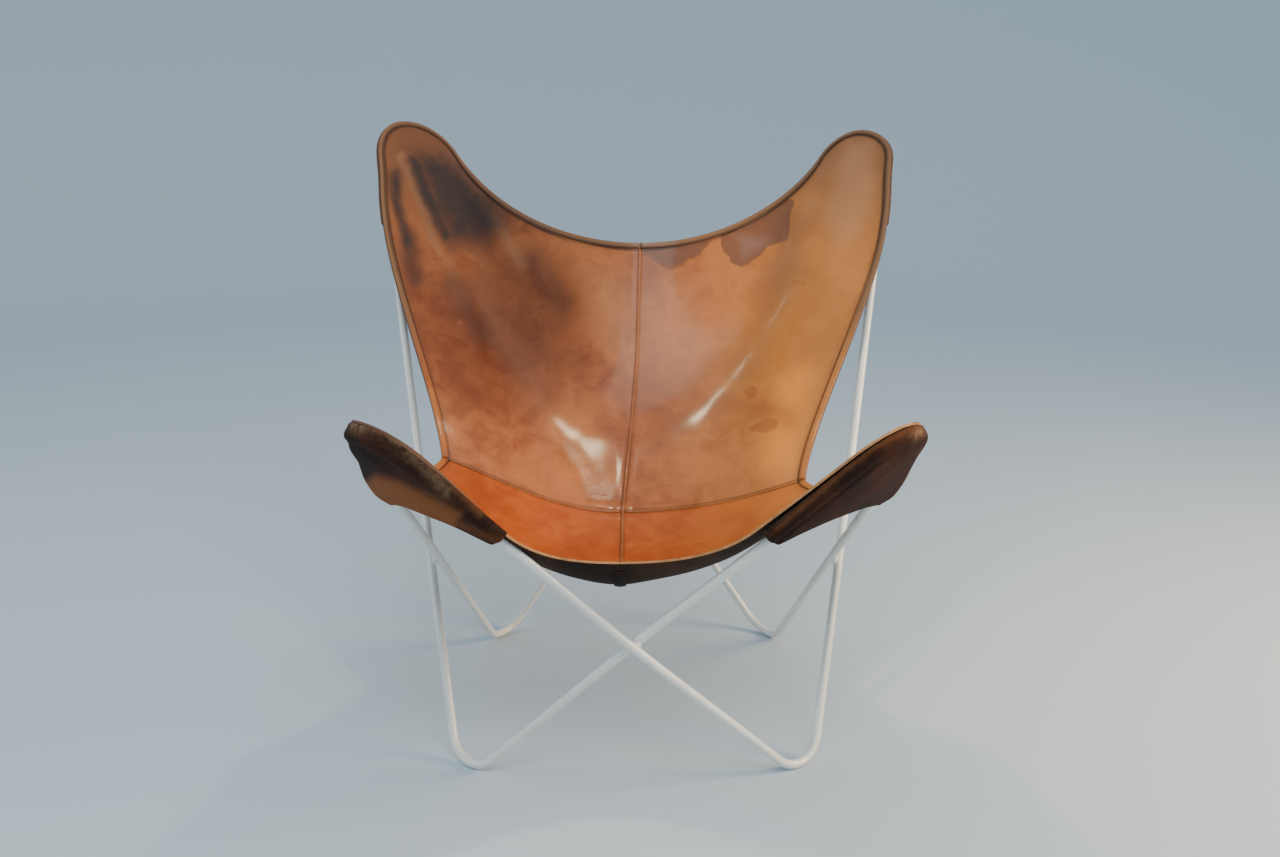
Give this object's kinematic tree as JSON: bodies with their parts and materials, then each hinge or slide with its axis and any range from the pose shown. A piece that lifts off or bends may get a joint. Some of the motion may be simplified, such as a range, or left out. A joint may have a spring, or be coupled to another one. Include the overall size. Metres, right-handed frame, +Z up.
{
  "type": "butterfly sling lounge chair",
  "caption": "Lounge chair with a leather sling whose corner pockets hang over the upper bends of two crossed and welded steel rod loops.",
  "frame": {"origin": "on the floor under the middle of the chair's bounding box", "axes": "+Z up, +Y to the back of the chair, +X to the right seen from the front"},
  "size_m": [0.8736, 0.8366, 0.882],
  "materials": {
    "lacquered_steel": "semi-gloss cream lacquer on solid steel rod, a few chips",
    "painted_weld": "lacquered weld bead",
    "back_leather": "glossy worn saddle leather with dark marks",
    "seat_leather": "glossy worn saddle leather, more orange than the back",
    "pocket_leather": "dark worn flesh side, matt",
    "edge_leather": "stitched edge strip, semi-matt",
    "welt_leather": "raised seam cover, semi-matt",
    "tape_leather": "dark seam tape, matt"
  },
  "bodies": {
    "root": {"rod_loop_right": "lacquered_steel", "rod_loop_left": "lacquered_steel", "weld_front": "painted_weld", "weld_side_left": "painted_weld", "weld_rear": "painted_weld", "weld_side_right": "painted_weld", "back_panel_right": "back_leather", "seat_panel_right": "seat_leather", "back_pocket_right": "pocket_leather", "seat_pocket_right": "pocket_leather", "back_edge_strip_right": "edge_leather", "seat_edge_strip_right": "edge_leather", "cross_welt_right": "welt_leather", "cross_tape_right": "tape_leather", "back_panel_left": "back_leather", "seat_panel_left": "seat_leather", "back_pocket_left": "pocket_leather", "seat_pocket_left": "pocket_leather", "back_edge_strip_left": "edge_leather", "seat_edge_strip_left": "edge_leather", "cross_welt_left": "welt_leather", "cross_tape_left": "tape_leather", "centre_welt": "welt_leather", "centre_tape": "tape_leather"}
  },
  "joints": []
}
